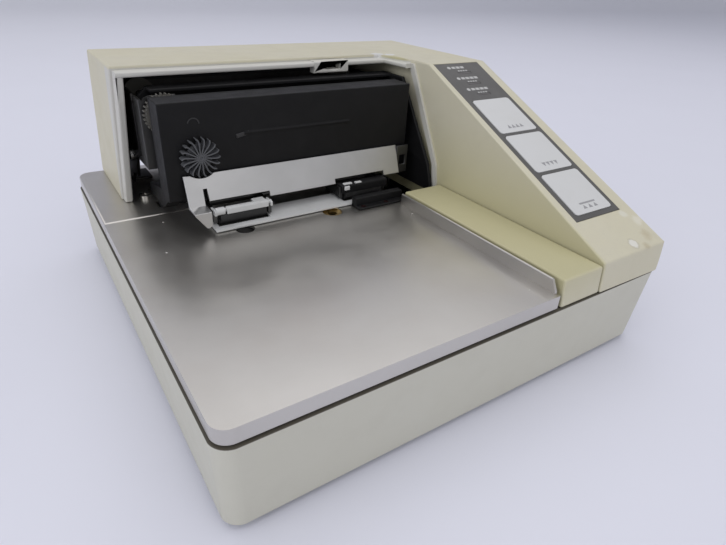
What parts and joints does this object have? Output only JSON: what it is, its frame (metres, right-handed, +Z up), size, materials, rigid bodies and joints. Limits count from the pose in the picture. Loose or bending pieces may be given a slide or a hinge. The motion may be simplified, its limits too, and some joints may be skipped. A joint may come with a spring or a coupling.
{
  "type": "slip printer",
  "caption": "Flatbed slip printer with a steel document table, rear print tower with its cover off, ribbon cassette, and a sloped key console",
  "frame": {"origin": "centre of the case's bounding box, on the surface under the feet", "axes": "+X to the machine's right, +Y to the rear, +Z up; the slip goes in from the front, towards +Y"},
  "size_m": [0.18, 0.19, 0.0945],
  "materials": {
    "case_base": "moulded, fine texture, slightly greyed cream",
    "case_top": "moulded, fine texture, yellowed cream with a paler cover rim",
    "rubber": "black rubber",
    "screw_steel": "zinc plated",
    "table_steel": "satin nickel-plated sheet",
    "black_plastic": "black satin moulding",
    "frame_steel": "zinc-plated sheet",
    "guide_zinc": "bright zinc-plated sheet",
    "shaft_steel": "ground steel",
    "platen_rubber": "hard black rubber",
    "head_aluminium": "die cast",
    "motor_steel": "plated can",
    "pale_nylon": "natural nylon",
    "white_plastic": "white acetal",
    "belt_rubber": "toothed rubber",
    "ribbon_ink": "inked nylon ribbon",
    "knob_plastic": "dark grey satin moulding",
    "lens_red": "dark red lens",
    "brass": "plain brass",
    "coil_wrap": "wrapped coil in a bracket",
    "board_green": "solder-masked board",
    "chip_black": "epoxy packages",
    "connector_shell": "tin-plated shell",
    "overlay_grey": "printed dark grey film",
    "key_white": "pale grey film key",
    "lamp_grey": "unlit lamp windows"
  },
  "bodies": {
    "printer": {"lower_case": "case_base", "upper_case": "case_top", "form_shelf": "case_top", "rubber_feet": "rubber", "case_screws": "screw_steel", "table_screws": "screw_steel", "connector_screws": "screw_steel", "front_table_plate": "table_steel", "rear_table_plate": "table_steel", "mechanism_housing": "black_plastic", "cassette_body": "black_plastic", "cassette_lid": "black_plastic", "sensor_block": "black_plastic", "drawer_jack": "black_plastic", "power_inlet": "black_plastic", "power_switch_frame": "black_plastic", "left_side_frame": "frame_steel", "right_side_frame": "frame_steel", "carriage_rail": "frame_steel", "idler_pin": "frame_steel", "gear_pin": "frame_steel", "hinge_tab": "frame_steel", "pinch_plate": "guide_zinc", "carriage_shaft": "shaft_steel", "platen_bar": "platen_rubber", "carriage_motor": "motor_steel", "feed_motor": "motor_steel", "feed_bearings": "pale_nylon", "form_guide_lip": "white_plastic", "timing_belt": "belt_rubber", "ink_ribbon": "ribbon_ink", "sensor_lenses": "lens_red", "ground_screw": "brass", "release_solenoid": "coil_wrap", "main_board": "board_green", "panel_board": "board_green", "board_chips": "chip_black", "serial_connector": "connector_shell", "panel_overlay": "overlay_grey", "indicator_lamps": "lamp_grey"},
    "carriage": {"carriage_block": "black_plastic", "print_head": "head_aluminium", "head_cable_clip": "pale_nylon"},
    "drive_pulley": {"drive_pulley": "pale_nylon"},
    "idler_pulley": {"idler_pulley": "pale_nylon"},
    "knob": {"ribbon_knob": "knob_plastic"},
    "ribbon_gear": {"ribbon_drive_gear": "pale_nylon"},
    "feed": {"feed_shaft": "shaft_steel", "feed_rollers": "rubber", "feed_gear": "pale_nylon"},
    "pinion": {"feed_pinion": "brass"},
    "pinch": {"pinch_arm": "frame_steel", "roller_clip": "white_plastic"},
    "pinch_roller": {"pinch_rollers": "platen_rubber"},
    "plunger": {"solenoid_plunger": "shaft_steel"},
    "forward_key": {"key_forward": "key_white"},
    "reverse_key": {"key_reverse": "key_white"},
    "release_key": {"key_release": "key_white"},
    "rocker": {"power_rocker": "black_plastic"}
  },
  "joints": [
    {"name": "carriage_slide", "type": "slide", "parent": "printer", "child": "carriage", "axis": [1, 0, 0], "range_m": [0, 0.066]},
    {"name": "drive_pulley_spin", "type": "hinge", "parent": "printer", "child": "drive_pulley", "pos_m": [0.039, 0.071, 0.0795], "axis": [0, 1, 0], "range_deg": [-680, 0]},
    {"name": "idler_pulley_spin", "type": "hinge", "parent": "printer", "child": "idler_pulley", "pos_m": [-0.061, 0.071, 0.0795], "axis": [0, 1, 0], "range_deg": [-680, 0]},
    {"name": "knob_spin", "type": "hinge", "parent": "printer", "child": "knob", "pos_m": [-0.054, 0.013, 0.0665], "axis": [0, 1, 0], "continuous": true},
    {"name": "ribbon_gear_spin", "type": "hinge", "parent": "printer", "child": "ribbon_gear", "pos_m": [-0.06046, 0.03, 0.07892], "axis": [0, 1, 0], "continuous": true},
    {"name": "feed_spin", "type": "hinge", "parent": "printer", "child": "feed", "pos_m": [-0.03, 0.009, 0.0328], "axis": [1, 0, 0], "continuous": true},
    {"name": "feed_pinion_spin", "type": "hinge", "parent": "printer", "child": "pinion", "pos_m": [-0.063, 0.01478, 0.02591], "axis": [1, 0, 0], "continuous": true},
    {"name": "pinch_lift", "type": "hinge", "parent": "printer", "child": "pinch", "pos_m": [-0.012, 0.021, 0.0445], "axis": [1, 0, 0], "range_deg": [-5, 0], "stiffness_Nm_per_rad": 0.2, "springref_deg": 11.46},
    {"name": "pinch_roller_spin", "type": "hinge", "parent": "pinch", "child": "pinch_roller", "pos_m": [-0.012, 0.009, 0.0433], "axis": [1, 0, 0], "continuous": true},
    {"name": "plunger_slide", "type": "slide", "parent": "printer", "child": "plunger", "axis": [0, 1, 0], "range_m": [0, 0.00188]},
    {"name": "forward_press", "type": "slide", "parent": "printer", "child": "forward_key", "axis": [0, 0.4163, -0.9092], "range_m": [0, 0.0005], "stiffness_N_per_m": 1500, "springref_m": -0.0004},
    {"name": "reverse_press", "type": "slide", "parent": "printer", "child": "reverse_key", "axis": [0, 0.4163, -0.9092], "range_m": [0, 0.0005], "stiffness_N_per_m": 1500, "springref_m": -0.0004},
    {"name": "release_press", "type": "slide", "parent": "printer", "child": "release_key", "axis": [0, 0.4163, -0.9092], "range_m": [0, 0.0005], "stiffness_N_per_m": 1500, "springref_m": -0.0004},
    {"name": "rocker_tip", "type": "hinge", "parent": "printer", "child": "rocker", "pos_m": [0.085, 0.055, 0.0195], "axis": [0, 0, 1], "range_deg": [-14, 0]}
  ],
  "couplings": [
    {"joint": "drive_pulley_spin", "follows": "carriage_slide", "rad_per_m": -178.57},
    {"joint": "idler_pulley_spin", "follows": "carriage_slide", "rad_per_m": -178.57},
    {"joint": "ribbon_gear_spin", "follows": "knob_spin", "ratio": -0.86667},
    {"joint": "feed_pinion_spin", "follows": "feed_spin", "ratio": -1.25},
    {"joint": "pinch_lift", "follows": "plunger_slide", "rad_per_m": -46.512}
  ]
}
